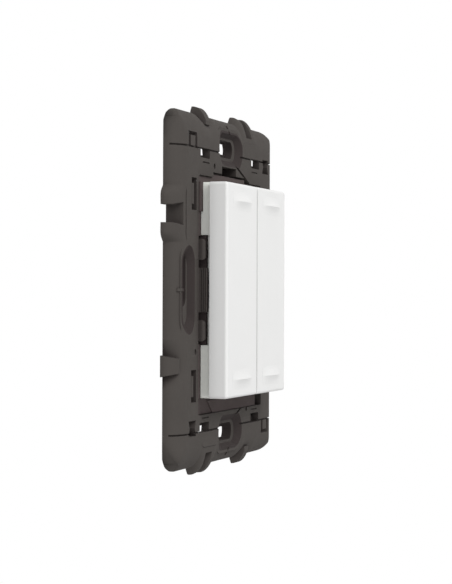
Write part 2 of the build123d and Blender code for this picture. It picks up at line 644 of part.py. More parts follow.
def module_base():
    """Tray that carries the board and the generator, and closes the module towards the wall."""
    x = OPENING_HALF - BASE_GAP
    top = OPENING_TOP - BASE_GAP
    bottom = OPENING_BOTTOM + BASE_GAP
    wall_x = HOUSING_HALF_X + HOUSING_FIT
    wall_z = HOUSING_HALF_Z + HOUSING_FIT
    plan = Plane.XZ * RectangleRounded(2 * x, top - bottom, OPENING_CORNER)
    base = Pos(0, 0, (top + bottom) / 2) * plate_at(plan, BASE_REAR, BASE_OUT)
    slit_z = (bottom - OVERCUT, OPENING_BOTTOM + OPEN_SLIT)
    base -= block(LOWER_SLIT_X, (SLIT_FLOOR, BASE_OUT + OVERCUT), slit_z)
    tongue_x = (BAY_X[0] + BASE_GAP, BAY_X[1] - BASE_GAP)
    base += block(tongue_x, (BASE_REAR, SLIT_FLOOR), (wall_z, BAY_TOP - BASE_GAP))
    base += block(tongue_x, (BASE_REAR, BASE_OUT), (wall_z, BAY_TOP - OPEN_SLIT))
    base += block((-x, x), (BASE_REAR, BASE_SIDE_OUT), (-HOUSING_HALF_Z, HOUSING_HALF_Z))
    base += block((-x, -wall_x), (BASE_REAR, BASE_RAISED_OUT), BASE_RAISED_Z)
    base -= block((-wall_x, wall_x), (BASE_FLOOR, CUT_END), (-wall_z, wall_z))
    base -= block((-x - OVERCUT, x + OVERCUT), (BASE_LEDGE_OUT, CUT_END), (-LEDGE_HALF, LEDGE_HALF))
    cut_z = (bottom - OVERCUT, -wall_z - FRAME_PLATE / 2)
    base -= block((BASE_LOWER_RIGHT, x + OVERCUT), (BASE_FLOOR, CUT_END), cut_z)
    well_x = BOARD_HOLE_X - HOUSING_FIT
    well_z = (BOARD_HOLE_Z[0] + WELL_INSET, BOARD_HOLE_Z[1] - WELL_INSET)
    base -= block((-well_x, well_x), (BASE_WELL, CUT_END), well_z)
    step_right = BASE_LOWER_RIGHT - STEP_END
    step_low = STEP_B[1] - OVERCUT
    step = outline(STEP_A, (step_right, STEP_A[1]), (step_right, step_low), (STEP_B[0], step_low), STEP_B)
    raised = plate_at(step, BASE_OUT - LAP, BASE_OUT + STEP_RISE)
    base += raised & block((-x, x), (0, CUT_END), (bottom, -wall_z))
    for sx in (1, -1):
        span = sorted((sx * (CORE_LEG_X[0] + CORE_REST_INSET), sx * (CORE_LEG_X[1] - CORE_REST_INSET)))
        base += block(span, (BASE_REAR + FLOOR_LAP, ARMATURE_OUT - CORE_THICK / 2), CORE_REST_Z)
        for sz in (1, -1):
            base += rod_y(SCREW_BOSS_RADIUS, sx * SCREW_X, sz * SCREW_Z, BASE_REAR, BOARD_REAR)
    for sx in (1, -1):
        for sz in (1, -1):
            screw_x, screw_z = sx * SCREW_X, sz * SCREW_Z
            seat = BASE_REAR + SCREW_HEAD + HEAD_SUNK
            base -= rod_y(SCREW_HEAD_RADIUS + SCREW_PLAY, screw_x, screw_z, -OVERCUT, seat)
            base -= rod_y(SCREW_RADIUS + SCREW_PLAY, screw_x, screw_z, -OVERCUT, CUT_END)
    wall_start = BOARD_HALF_X + HOUSING_FIT
    half = EAR_INNER_Z - HOUSING_FIT
    latch_wall = (wall_start, wall_start + LATCH_WALL_THICK)
    base += mirrored(block(latch_wall, (BASE_REAR, LATCH_WALL_OUT), (-half, half)))
    base += [bearing(z) for z in bearing_positions()]
    return base


def bearing_positions():
    """Middle of the two bearing blocks, one beyond each end of the armature."""
    ring = MAGNET_HALF_Z + CARRIER_AIR + CARRIER_WALL
    offset = ring + BEARING_GAP + BEARING_THICK / 2
    return (ARMATURE_Z + offset, ARMATURE_Z - offset)


def bearing(z):
    """Block of the base with the bearing hole for one axle stub."""
    span = (BASE_REAR + FLOOR_LAP, ARMATURE_OUT + BEARING_TOP)
    body = block((-BEARING_HALF, BEARING_HALF), span, (z - BEARING_THICK / 2, z + BEARING_THICK / 2))
    return body - rod_z(AXLE_RADIUS + AXLE_RUNNING, z - BEARING_THICK, z + BEARING_THICK, 0, ARMATURE_OUT)


def front_housing():
    """White housing with the four ears, the deck over the board and the shaft posts."""
    x, z = HOUSING_HALF_X, HOUSING_HALF_Z
    body = block((-x, x), (HOUSING_REAR, EAR_OUT), (-z, z))
    body = fillet(body.edges().filter_by(Axis.Y), EAR_CORNER)
    inner_x, inner_z = x - HOUSING_WALL, z - HOUSING_WALL
    body -= block((-inner_x, inner_x), (0, HOUSING_OUT - DECK), (-inner_z, inner_z))
    body -= block((-inner_x, inner_x), (HOUSING_OUT, CUT_END), (-inner_z, inner_z))
    gap = EAR_INNER_Z
    for side in (1, -1):
        span = sorted((side * inner_x, side * (x + OVERCUT)))
        body -= block(span, (HOUSING_REAR - OVERCUT, CUT_END), (-gap, gap))
    deck_cut = (HOUSING_OUT - DECK - OVERCUT, CUT_END)
    window = block(DECK_WINDOW_X, deck_cut, (-DECK_WINDOW_HALF_Z, DECK_WINDOW_HALF_Z))
    body -= mirrored(fillet(window.edges().filter_by(Axis.Y), DECK_WINDOW_CORNER))
    for sx in (1, -1):
        for sz in (1, -1):
            body -= rod_y(DOME_HOLE_RADIUS, sx * DOME_X, sz * DOME_Z, *deck_cut)
            post = rod_y(SCREW_POST_RADIUS, sx * SCREW_X, sz * SCREW_Z, BOARD_REAR, HOUSING_OUT - DECK / 2)
            bore_end = screw_tip() + SCREW_BORE_PAST
            bore = rod_y(SCREW_RADIUS + SCREW_FIT, sx * SCREW_X, sz * SCREW_Z, 0, bore_end)
            body += post
            body -= bore
    body += mirrored(shaft_post(POST_X))
    body += shaft_post((-SADDLE_HALF_X, SADDLE_HALF_X))
    body -= rod_x(SHAFT_RADIUS + SHAFT_FIT, -SHAFT_HALF, SHAFT_HALF, SHAFT_OUT, 0)
    return body


def shaft_post(span):
    """Post with a rounded head that holds the shaft, between two values of X."""
    post = block(span, (HOUSING_OUT - DECK, POST_OUT), (-POST_HALF_Z, POST_HALF_Z))
    return fillet(post.faces().sort_by(Axis.Y)[0].edges().filter_by(Axis.X), POST_ROUND)


def ridge():
    """Low convex ridge near the end of a key, for the thumb, centred on X = 0."""
    root = RIDGE_ROOT - KEY_OUT
    half = RIDGE_HALF_Z
    side = half * RIDGE_HOLLOW[0]
    sections = []
    for share in RIDGE_STATIONS:
        x = share * RIDGE_HALF_X
        height = RIDGE_HEIGHT * (1 - abs(share) ** RIDGE_FALL) + RIDGE_END
        crest = KEY_OUT + height
        flank = KEY_OUT + height * RIDGE_HOLLOW[1]
        upper = ThreePointArc((x, -KEY_OUT, half), (x, -flank, side), (x, -crest, 0))
        lower = ThreePointArc((x, -crest, 0), (x, -flank, -side), (x, -KEY_OUT, -half))
        foot = Polyline((x, -KEY_OUT, -half), (x, root, -half), (x, root, half), (x, -KEY_OUT, half))
        sections.append(make_face(Wire([upper.edge(), lower.edge(), *foot.edges()])))
    return loft(sections)


def right_key():
    """Rocker key right of the gap: a thin shell with bosses, plungers and catches behind it."""
    x0, x1 = KEY_GAP / 2, KEY_PAIR_HALF
    z = KEY_HALF_Z
    key = block((x0, x1), (KEY_SKIRT_OUT, KEY_OUT), (-z, z))
    key = fillet(key.edges().filter_by(Axis.Y), KEY_CORNER)
    key = fillet(key.faces().sort_by(Axis.Y)[0].edges(), KEY_EDGE)
    under = KEY_OUT - KEY_SKIN
    key -= block((x0 + KEY_WALL, x1 - KEY_WALL), (0, under), (-z + KEY_WALL, z - KEY_WALL))
    key -= block((x0 - OVERCUT, x0 + KEY_WALL), (0, KEY_INNER_OUT), (-z - OVERCUT, z + OVERCUT))
    for side in (1, -1):
        span = sorted((side * (z - KEY_WALL), side * (z + OVERCUT)))
        key -= block((x0 - OVERCUT, x1 - KEY_WALL), (0, KEY_END_OUT), span)
        centre = (x0 + x1) / 2
        key += Pos(centre, 0, side * RIDGE_Z) * ridge()
        plunger_foot = DOME_OUT + PLUNGER_GAP
        key += rod_y(PLUNGER_RADIUS, DOME_X, side * DOME_Z, plunger_foot, under + LAP)
        tip = SPRING_TIP_OUT + SPRING_THICK + CATCH_GAP
        middle = sum(SPRING_BAR_X) / 2
        catch_z = side * (SPRING_TIP_Z - CATCH_INSET)
        key += block(
            (middle - CATCH_HALF_X, middle + CATCH_HALF_X),
            (tip, under + LAP),
            (catch_z - CATCH_HALF_Z, catch_z + CATCH_HALF_Z),
        )
    for span in (KEY_BOSS_X, KEY_BOSS_OUTER_X):
        boss = rod_x(BOSS_RADIUS, span[0], span[1], SHAFT_OUT, 0)
        boss += block(span, (SHAFT_OUT, under + LAP), (-BOSS_RADIUS, BOSS_RADIUS))
        key += boss
    bore = (KEY_BOSS_X[0] - OVERCUT, KEY_BOSS_OUTER_X[1] + OVERCUT)
    key -= rod_x(SHAFT_RADIUS + SHAFT_RUNNING, *bore, SHAFT_OUT, 0)
    for x in KEY_RIB_X:
        rib_x = (x - KEY_RIB_HALF, x + KEY_RIB_HALF)
        key += block(rib_x, (under - KEY_RIB_DROP, under + LAP), (-z + KEY_WALL, z - KEY_WALL))
    return key


def screw_tip():
    """Distance of the screw tips from the wall."""
    return BASE_REAR + SCREW_HEAD + SCREW_LENGTH


def housing_screws():
    """Four small screws, driven from behind, with a cross recess in each pan head."""
    screws = []
    for sx in (1, -1):
        for sz in (1, -1):
            x, z = sx * SCREW_X, sz * SCREW_Z
            head_top = BASE_REAR + SCREW_HEAD
            screw = rod_y(SCREW_HEAD_RADIUS, x, z, BASE_REAR + HEAD_SUNK, head_top)
            screw += rod_y(SCREW_RADIUS, x, z, head_top - LAP, screw_tip())
            for half_x, half_z in ((CROSS_HALF, CROSS_HALF_WIDTH), (CROSS_HALF_WIDTH, CROSS_HALF)):
                depth = (-OVERCUT, BASE_REAR + CROSS_DEPTH)
                screw -= block((x - half_x, x + half_x), depth, (z - half_z, z + half_z))
            screws.append(screw)
    return Compound(children=screws)


def circuit_board():
    """Ring-shaped board round the generator."""
    rim = Plane.XZ * RectangleRounded(2 * BOARD_HALF_X, 2 * BOARD_HALF_Z, BOARD_CORNER)
    board = plate_at(rim, BOARD_REAR, board_front())
    board -= block((-BOARD_HOLE_X, BOARD_HOLE_X), (0, CUT_END), BOARD_HOLE_Z)
    for sx in (1, -1):
        for sz in (1, -1):
            board -= rod_y(POST_HOLE_IN_BOARD, sx * SCREW_X, sz * SCREW_Z, 0, CUT_END)
    return board


def board_front():
    """Front face of the circuit board."""
    return BOARD_REAR + BOARD_THICK


def dome_mat():
    """Silicone mat for the upper band of the board, with two hollow domes."""
    low = board_front()
    thick = (low, low + MAT_THICK)
    mat = block((-DOME_X, DOME_X), thick, MAT_BRIDGE_Z)
    for sx in (1, -1):
        x = sx * DOME_X
        pad = block((x - MAT_HALF, x + MAT_HALF), thick, (DOME_Z - MAT_HALF, DOME_Z + MAT_HALF))
        mat += fillet(pad.edges().filter_by(Axis.Y), BOARD_CORNER)
        mat += dome_cone(x, DOME_RADIUS, DOME_TOP_RADIUS, low, DOME_OUT)
        roof_radius = DOME_RADIUS - DOME_SKIN - DOME_TAPER
        mat -= dome_cone(x, DOME_RADIUS - DOME_SKIN, roof_radius, low, DOME_INNER_OUT)
    return mat


def dome_cone(x, foot_radius, top_radius, out0, out1):
    """Cone that narrows away from the wall, at the height of the upper switching points."""
    cone = Cone(foot_radius, top_radius, out1 - out0, rotation=(90, 0, 0))
    return Pos(x, -(out0 + out1) / 2, DOME_Z) * cone


def at_corners(radius, out0, out1):
    """Four equal discs, one at each switching point."""
    discs = [rod_y(radius, sx * DOME_X, sz * DOME_Z, out0, out1) for sx in (1, -1) for sz in (1, -1)]
    return Compound(children=discs)


def flux_core():
    """U-shaped core: a bar through the coil and two legs that end inside the armature."""
    low, high = ARMATURE_OUT - CORE_THICK / 2, ARMATURE_OUT + CORE_THICK / 2
    reach = CORE_LEG_X[1]
    bar_z = (CORE_BAR_Z - CORE_BAR_WIDTH / 2, CORE_BAR_Z + CORE_BAR_WIDTH / 2)
    core = block((-reach, reach), (low, high), bar_z)
    core += mirrored(block(CORE_LEG_X, (low, high), (ARMATURE_Z - POLE_HALF_Z + CORE_LEG_INSET, bar_z[1])))
    corners = core.edges().filter_by(Axis.Y).group_by(Axis.Z)[-1]
    return fillet(corners, CORE_CORNER)


def bobbin_section(grow, x0, x1):
    """Block round the core bar, grown by the given wall."""
    return on_bar((x0, x1), CORE_THICK / 2 + grow, CORE_BAR_WIDTH / 2 + grow)


def on_bar(x, half_out, half_z):
    """Block centred on the core bar."""
    out = (ARMATURE_OUT - half_out, ARMATURE_OUT + half_out)
    return block(x, out, (CORE_BAR_Z - half_z, CORE_BAR_Z + half_z))


def coil_bobbin():
    """Bobbin on the core bar with a flange at each end."""
    body = bobbin_section(CARRIER_AIR + BOBBIN_WALL, -BOBBIN_HALF, BOBBIN_HALF)
    for side in (1, -1):
        span = sorted((side * (BOBBIN_HALF - BOBBIN_FLANGE), side * BOBBIN_HALF))
        flange = on_bar(span, BOBBIN_FLANGE_HALF_OUT, BOBBIN_FLANGE_HALF_Z)
        body += fillet(flange.edges().filter_by(Axis.X), BOBBIN_CORNER)
    return body - bobbin_section(CARRIER_AIR, -BOBBIN_HALF - OVERCUT, BOBBIN_HALF + OVERCUT)


def coil_winding():
    """Wound wire as one rounded body between the flanges."""
    x = BOBBIN_HALF - BOBBIN_FLANGE
    body = on_bar((-x, x), BOBBIN_FLANGE_HALF_OUT - WINDING_INSET, BOBBIN_FLANGE_HALF_Z - WINDING_INSET)
    body = fillet(body.edges().filter_by(Axis.X), WINDING_CORNER)
    return body - bobbin_section(CARRIER_AIR + BOBBIN_WALL, -x - OVERCUT, x + OVERCUT)


def pole_plate(side):
    """Steel plate of the armature: side 1 is towards the keys, -1 towards the wall."""
    near = ARMATURE_OUT + side * (CORE_THICK / 2 + POLE_AIR)
    span = sorted((near, near + side * POLE_THICK))
    plate = block((-POLE_HALF_X, POLE_HALF_X), span, (ARMATURE_Z - POLE_HALF_Z, ARMATURE_Z + POLE_HALF_Z))
    return fillet(plate.edges().filter_by(Axis.Y), POLE_CORNER)


def magnet():
    """Block magnet between the pole plates."""
    half = CORE_THICK / 2 + POLE_AIR
    return block(
        (-MAGNET_HALF_X, MAGNET_HALF_X),
        (ARMATURE_OUT - half, ARMATURE_OUT + half),
        (ARMATURE_Z - MAGNET_HALF_Z, ARMATURE_Z + MAGNET_HALF_Z),
    )


def armature_carrier():
    """Plastic ring round the magnet with an axle stub at each end."""
    half = CORE_THICK / 2 + POLE_AIR
    inner_x = MAGNET_HALF_X + CARRIER_AIR
    inner_z = MAGNET_HALF_Z + CARRIER_AIR
    outer_x, outer_z = inner_x + CARRIER_WALL, inner_z + CARRIER_WALL
    out = (ARMATURE_OUT - half, ARMATURE_OUT + half)
    ring = block((-outer_x, outer_x), out, (ARMATURE_Z - outer_z, ARMATURE_Z + outer_z))
    ring -= block((-inner_x, inner_x), (0, CUT_END), (ARMATURE_Z - inner_z, ARMATURE_Z + inner_z))
    length = BEARING_THICK + AXLE_PAST
    ring += rod_z(AXLE_RADIUS, ARMATURE_Z + outer_z, ARMATURE_Z + outer_z + length, 0, ARMATURE_OUT)
    ring += rod_z(AXLE_RADIUS, ARMATURE_Z - outer_z - length, ARMATURE_Z - outer_z, 0, ARMATURE_OUT)
    return ring


def drive_spring():
    """Leaf spring on the armature: a strip that rises to two bars, one under each key."""
    low = ARMATURE_OUT + CORE_THICK / 2 + POLE_AIR + POLE_THICK
    tip = SPRING_TIP_OUT
    bar0, bar1 = SPRING_BAR_X
    lower = [(-LAP, -low), (POLE_HALF_X + SPRING_START, -low), (bar0, -tip), (bar1, -tip)]
    upper = [(x, y - SPRING_THICK) for x, y in reversed(lower)]
    band = make_face(Polyline(*lower, *upper, close=True))
    half = extrude(Pos(0, 0, ARMATURE_Z - SPRING_HALF_Z) * band, amount=2 * SPRING_HALF_Z)
    half += block((bar0, bar1), (tip, tip + SPRING_THICK), (-SPRING_TIP_Z, SPRING_TIP_Z))
    return half + half.mirror(Plane.YZ)


def coil_terminals():
    """Two bent pins that lead the winding's ends from the bobbin flanges to the board."""
    pins = []
    start = CORE_BAR_Z + BOBBIN_FLANGE_HALF_Z
    land = BOARD_HOLE_Z[1] + TERMINAL_INSET
    high = board_front() + TERMINAL_RISE
    for sx in (1, -1):
        x = sx * (BOBBIN_HALF - BOBBIN_FLANGE / 2)
        points = [(x, -high, start), (x, -high, land), (x, -board_front(), land)]
        path = FilletPolyline(*points, radius=TERMINAL_BEND)
        pins.append(sweep(Plane(origin=path @ 0, z_dir=path % 0) * Circle(TERMINAL_RADIUS), path=path))
    return Compound(children=pins)


def spring_rivets():
    """Two flat rivets that hold the leaf spring on the front pole plate."""
    low = ARMATURE_OUT + CORE_THICK / 2 + POLE_AIR + POLE_THICK + SPRING_THICK
    heads = [rod_y(RIVET_HEAD_RADIUS, sx * RIVET_X, ARMATURE_Z, low, low + RIVET_HEAD) for sx in (1, -1)]
    return Compound(children=heads)


def on_board(x, z, size_x, size_z, height, edge=0.0):
    """Component body that stands on the front of the board."""
    low = board_front()
    body = block((x - size_x / 2, x + size_x / 2), (low, low + height), (z - size_z / 2, z + size_z / 2))
    if edge:
        body = fillet(body.edges().filter_by(Axis.Y), edge)
    return body


def board_row(xs, z, size):
    """Row of equal components on the board."""
    return Compound(children=[on_board(x, z, *size) for x in xs])


def antenna_wire():
    """Bent wire that stands on the left band of the board."""
    low, high = board_front(), board_front() + ANTENNA_RISE
    bottom, top = ANTENNA_Z
    points = [(-low, bottom), (-high, bottom), (-high, top), (-low, top)]
    path = FilletPolyline(*[(ANTENNA_X, y, z) for y, z in points], radius=ANTENNA_BEND)
    section = Plane(origin=path @ 0, z_dir=path % 0) * Circle(ANTENNA_RADIUS)
    return sweep(section, path=path)


PARTS = {
    "mounting_frame": mounting_frame,
    "module_base": module_base,
    "front_housing": front_housing,
    "right_key": right_key,
    "left_key": lambda: right_key().mirror(Plane.YZ),
    "key_shaft": lambda: rod_x(SHAFT_RADIUS, -SHAFT_HALF, SHAFT_HALF, SHAFT_OUT, 0),
    "housing_screws": housing_screws,
    "circuit_board": circuit_board,
    "upper_dome_mat": dome_mat,
    "lower_dome_mat": lambda: dome_mat().mirror(Plane.XY),
    "contact_pills": lambda: at_corners(PILL_RADIUS, DOME_INNER_OUT - PILL_THICK, DOME_INNER_OUT),
    "contact_pads": lambda: at_corners(PAD_RADIUS, board_front(), board_front() + PAD_THICK),
    "flux_core": flux_core,
    "coil_bobbin": coil_bobbin,
    "coil_winding": coil_winding,
    "front_pole_plate": lambda: pole_plate(1),
    "rear_pole_plate": lambda: pole_plate(-1),
    "magnet": magnet,
    "armature_carrier": armature_carrier,
    "drive_spring": drive_spring,
    "spring_rivets": spring_rivets,
    "coil_terminals": coil_terminals,
    "radio_chip": lambda: on_board(*CHIP_AT, *CHIP_SIZE, CHIP_EDGE),
    "crystal": lambda: on_board(*CRYSTAL_AT, *CRYSTAL_SIZE, CRYSTAL_EDGE),
    "storage_capacitors": lambda: board_row(CAPACITOR_X, CAPACITOR_Z, CAPACITOR_SIZE),
    "rectifier_diodes": lambda: board_row(DIODE_X, DIODE_Z, DIODE_SIZE),
    "antenna_wire": antenna_wire,
}

for name, build in PARTS.items():
    export_step(build(), f"parts/{name}.step")
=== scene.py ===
"""Looks of the two-key wall switch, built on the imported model: materials, light, camera and floor."""
import json
import math

import bmesh
import bpy
from mathutils import Matrix, Vector


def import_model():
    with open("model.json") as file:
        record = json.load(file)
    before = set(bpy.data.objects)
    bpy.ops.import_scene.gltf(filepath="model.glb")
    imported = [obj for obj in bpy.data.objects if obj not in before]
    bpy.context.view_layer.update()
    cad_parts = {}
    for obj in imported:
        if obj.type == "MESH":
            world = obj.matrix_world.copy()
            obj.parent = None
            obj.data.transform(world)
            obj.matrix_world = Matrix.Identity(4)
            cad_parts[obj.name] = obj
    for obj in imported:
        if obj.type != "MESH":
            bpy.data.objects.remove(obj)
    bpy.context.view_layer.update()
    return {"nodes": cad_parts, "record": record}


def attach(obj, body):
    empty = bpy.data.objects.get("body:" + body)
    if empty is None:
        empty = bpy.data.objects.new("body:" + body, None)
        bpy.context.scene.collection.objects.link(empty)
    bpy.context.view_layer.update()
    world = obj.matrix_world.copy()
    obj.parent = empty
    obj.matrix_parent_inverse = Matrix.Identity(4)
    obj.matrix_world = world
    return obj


MM = 0.001

# Camera, in degrees and millimetres in the part's frame
YAW = 73.88
PITCH = -0.12
ROLL = 0.20
DISTANCE = 470.12
TARGET = (12.84, 0.88, -0.29)
LENS = 132.15
SENSOR = 36.0

# Screw recesses of the frame, in millimetres; their walls get painted shade
RECESS_CENTRE = 30.0         # from the middle of the frame
RECESS_STRAIGHT = 5.2        # half of the straight stretch
RECESS_RADIUS = 3.73
RECESS_FLOOR = 2.55          # above the wall
RECESS_FLOOR_SLACK = 0.05

# Painted shade in gaps and recesses, found by ambient occlusion
SHELTER_REACH = 4.0          # millimetres
SHELTER_START = 0.55         # a face as sheltered as this starts to change
SHELTER_FULL = 0.97
SHELTER_SHARE = 0.6          # of the full change, outside the screw recesses

# Enamelled wire of the winding, in millimetres
WIRE_PITCH = 0.11

# Soft shading over the creases at the frame's corners, in millimetres
CORNER_START = 29.8          # from the middle of the frame, along X and along Z
CORNER_FULL = 31.2
CORNER_SOFT = 2.6            # rounding that the shading suggests

# Small posts that close the frame's hollow at its rounded corners, in millimetres
CORNER_POST = (33.8, 34.58)
CORNER_POST_HEIGHT = (0.3, 2.4)

# Thin walls behind the frame's openings: X, height above the wall, Z, in millimetres.
# These come twice, alike after a half turn.
HALF_TURN_WEBS = (
    ((15.8, 22.7), (1.9, 2.4), (26.8, 27.8)),       # inner strip of a window, upper right and lower left
    ((-22.7, -15.8), (1.9, 2.4), (26.8, 27.65)),    # the same, upper left and lower right
    ((25.0, 30.4), (1.9, 2.4), (28.9, 29.6)),       # outer strip of a bow-shaped slot
    ((-4.0, 5.6), (0.45, 0.95), (28.0, 29.15)),     # inner strip of a screw slot
    ((-4.0, 5.6), (0.45, 0.95), (31.45, 32.0)),     # outer strip of a screw slot
)

# These come once
WINDOW_WEB = ((15.8, 22.7), (1.9, 2.4), (-29.2, -26.8))    # whole lower right window
BAY_WEB = ((-7.6, 4.4), (0.3, 0.7), (24.3, 26.6))          # behind the bay above the keys

# Light, in metres and watts
ROOM_LIGHT = 0.44
LAMP_SIZE = 0.6
FRONT_LAMP = (-0.3, -0.85, 0.85)
FRONT_POWER = 9.0
LEFT_LAMP = (-0.95, -0.1, 0.25)
LEFT_POWER = 1.7

# Floor, in metres
FLOOR_LEVEL = -0.30
FLOOR_HALF = 1.2
PAPER_WHITE = 0.75           # share of plain white in the paper that the camera sees


def srgb(r, g, b):
    """Linear colour from an 8-bit one."""
    def one(c):
        c /= 255
        return c / 12.92 if c <= 0.04045 else ((c + 0.055) / 1.055) ** 2.4
    return (one(r), one(g), one(b), 1.0)


def shade(colour, factor):
    """The same colour, lighter or darker."""
    return (colour[0] * factor, colour[1] * factor, colour[2] * factor, 1.0)


class Nodes:
    """Short calls for building one material's node tree."""

    def __init__(self, name):
        self.material = bpy.data.materials.new(name)
        self.material.use_nodes = True
        self.tree = self.material.node_tree
        self.shader = self.tree.nodes["Principled BSDF"]
        self.position = self.add("ShaderNodeTexCoord").outputs["Object"]

    def add(self, kind, links=None, **values):
        node = self.tree.nodes.new(kind)
        for key, value in values.items():
            setattr(node, key, value)
        for socket, value in (links or {}).items():
            self.put(node.inputs[socket], value)
        return node

    def put(self, socket, value):
        if isinstance(value, bpy.types.NodeSocket):
            self.tree.links.new(value, socket)
        else:
            socket.default_value = value

    def set(self, **inputs):
        for name, value in inputs.items():
            self.put(self.shader.inputs[name.replace("_", " ")], value)

    def noise(self, per_mm, detail=3.0, rough=0.55, stretch=(1, 1, 1)):
        """Noise with so many cells in a millimetre, 0 to 1."""
        scale = [per_mm / MM * s for s in stretch]
        mapping = self.add("ShaderNodeMapping", {"Vector": self.position, "Scale": scale})
        node = self.add(
            "ShaderNodeTexNoise",
            {"Vector": mapping.outputs["Vector"], "Scale": 1.0, "Detail": detail, "Roughness": rough},
        )
        return node.outputs["Fac"]

    def remap(self, value, low, high, start=0.3, end=0.7):
        """Takes start to low and end to high, and clamps beyond them."""
        node = self.add(
            "ShaderNodeMapRange",
            {"Value": value, "From Min": start, "From Max": end, "To Min": low, "To Max": high},
        )
        return node.outputs["Result"]

    def mix(self, factor, a, b, kind="MIX"):
        node = self.add("ShaderNodeMix", data_type="RGBA", blend_type=kind)
        self.put(node.inputs[0], factor)
        self.put(node.inputs[6], a)
        self.put(node.inputs[7], b)
        return node.outputs[2]

    def math(self, operation, a, b=0.0):
        node = self.add("ShaderNodeMath", operation=operation)
        self.put(node.inputs[0], a)
        self.put(node.inputs[1], b)
        return node.outputs[0]

    def relief(self, height, depth_mm, strength=1.0, under=None):
        """Bump of the given depth; under is the normal that it lies on."""
        links = {"Height": height, "Distance": depth_mm * MM, "Strength": strength}
        node = self.add("ShaderNodeBump", links)
        if under is not None:
            self.put(node.inputs["Normal"], under)
        return node.outputs["Normal"]

    def sheltered(self):
        """Amount of painted shade: 0 on open faces to 1 deep in recesses and gaps."""
        node = self.add("ShaderNodeAmbientOcclusion", {"Distance": SHELTER_REACH * MM}, samples=8)
        return self.remap(node.outputs["AO"], 1, 0, SHELTER_START, SHELTER_FULL)

    def distances(self):
        """Distances from the middle along X, above the wall and from the middle along Z."""
        parts = self.add("ShaderNodeSeparateXYZ", {"Vector": self.position}).outputs
        return [self.math("ABSOLUTE", parts[axis]) for axis in "XYZ"]

    def recess_wall_shade(self):
        """Painted shade mask: 1 on the walls of the four screw recesses and their slots, else 0."""
        x, y, z = self.distances()
        across = self.math("SUBTRACT", self.math("MAXIMUM", x, z), RECESS_CENTRE * MM)
        past_straight = self.math("SUBTRACT", self.math("MINIMUM", x, z), RECESS_STRAIGHT * MM)
        along = self.math("MAXIMUM", past_straight, 0.0)
        squares = self.math("ADD", self.math("POWER", across, 2.0), self.math("POWER", along, 2.0))
        inside = self.math("LESS_THAN", self.math("SQRT", squares), RECESS_RADIUS * MM)
        from_floor = self.math("ABSOLUTE", self.math("SUBTRACT", y, RECESS_FLOOR * MM))
        off_floor = self.math("GREATER_THAN", from_floor, RECESS_FLOOR_SLACK * MM)
        return self.math("MULTIPLY", inside, off_floor)

    def soft_edges(self, radius_mm, samples=6):
        """Normal that rounds every edge by the radius, in shading alone."""
        return self.add("ShaderNodeBevel", {"Radius": radius_mm * MM}, samples=samples).outputs["Normal"]

    def soft_corners(self, edges):
        """The given normal, but flowing over the creases at the frame's four corners."""
        x, _, z = self.distances()
        at_corner = self.remap(self.math("MINIMUM", x, z), 0, 1, CORNER_START * MM, CORNER_FULL * MM)
        node = self.add("ShaderNodeMix", data_type="VECTOR")
        self.put(node.inputs[0], at_corner)
        self.put(node.inputs[4], edges)
        self.put(node.inputs[5], self.soft_edges(CORNER_SOFT, 16))
        return node.outputs[1]


def moulded(
    name, colour, roughness, grain=7.0, grain_depth=0.004, flow=0.06, edge=0.12, specular=0.5, painted_shade=None,
    corners=False,
):
    """Moulded plastic: spark-eroded grain, faint flow clouds and slightly rounded edges.

    The tone given for gaps and recesses is painted shade, and corners softens the creases at the frame's
    corners.
    """
    n = Nodes(name)
    clouds = n.noise(0.09, 4.0, 0.6)
    specks = n.noise(grain, 2.0)
    tone = n.mix(n.remap(clouds, 0, 1), shade(colour, 1 - flow), shade(colour, 1 + flow / 2))
    tone = n.mix(n.remap(specks, 0, 0.35), tone, shade(colour, 1 - flow * 1.6))
    # Painted shade: the tone darkens in gaps found by ambient occlusion and on the screw recesses' walls
    if painted_shade:
        gaps = n.math("MULTIPLY", n.sheltered(), SHELTER_SHARE)
        tone = n.mix(n.math("MAXIMUM", gaps, n.recess_wall_shade()), tone, painted_shade)
    rubbed = n.noise(0.35, 5.0, 0.65)
    rough = n.remap(rubbed, roughness - 0.05, roughness + 0.06)
    rough = n.math("ADD", rough, n.remap(specks, -0.02, 0.03))
    edges = n.soft_edges(edge)
    if corners:
        edges = n.soft_corners(edges)
    normal = n.relief(specks, grain_depth, 0.7, edges)
    n.set(Base_Color=tone, Roughness=rough, Normal=normal, Specular_IOR_Level=specular)
    return n.material


def metal(name, colour, roughness, stretch=(1, 1, 1), lines=6.0, depth=0.002):
    """Metal with drawn or ground lines and a dulled patchy surface."""
    n = Nodes(name)
    grain = n.noise(lines, 3.0, 0.6, stretch)
    patches = n.noise(0.5, 4.0)
    tone = n.mix(n.remap(patches, 0, 1), shade(colour, 0.82), colour)
    rough = n.remap(grain, roughness - 0.07, roughness + 0.08)
    rough = n.math("ADD", rough, n.remap(patches, 0.05, -0.02))
    normal = n.relief(grain, depth, 0.6, n.soft_edges(0.05))
    n.set(Base_Color=tone, Metallic=1.0, Roughness=rough, Normal=normal)
    return n.material


def circuit_material():
    """Solder resist with copper tracks showing through as slightly lighter lines."""
    n = Nodes("board_resist")
    turned = n.add("ShaderNodeMapping", {"Vector": n.position, "Rotation": (math.radians(90), 0, 0)})
    brick = n.add(
        "ShaderNodeTexBrick",
        {
            "Vector": turned.outputs["Vector"], "Scale": 1 / (2.2 * MM), "Mortar Size": 0.035,
            "Brick Width": 1.7, "Row Height": 0.55, "Mortar Smooth": 0.2,
        },
    )
    tracks = brick.outputs["Fac"]
    mottle = n.noise(0.6, 4.0)
    base = n.mix(n.remap(mottle, 0, 1), srgb(20, 92, 58), srgb(26, 104, 66))
    tone = n.mix(tracks, base, srgb(44, 128, 84))
    n.set(Base_Color=tone, Roughness=n.remap(mottle, 0.24, 0.36), Normal=n.relief(tracks, 0.03, 0.8))
    return n.material


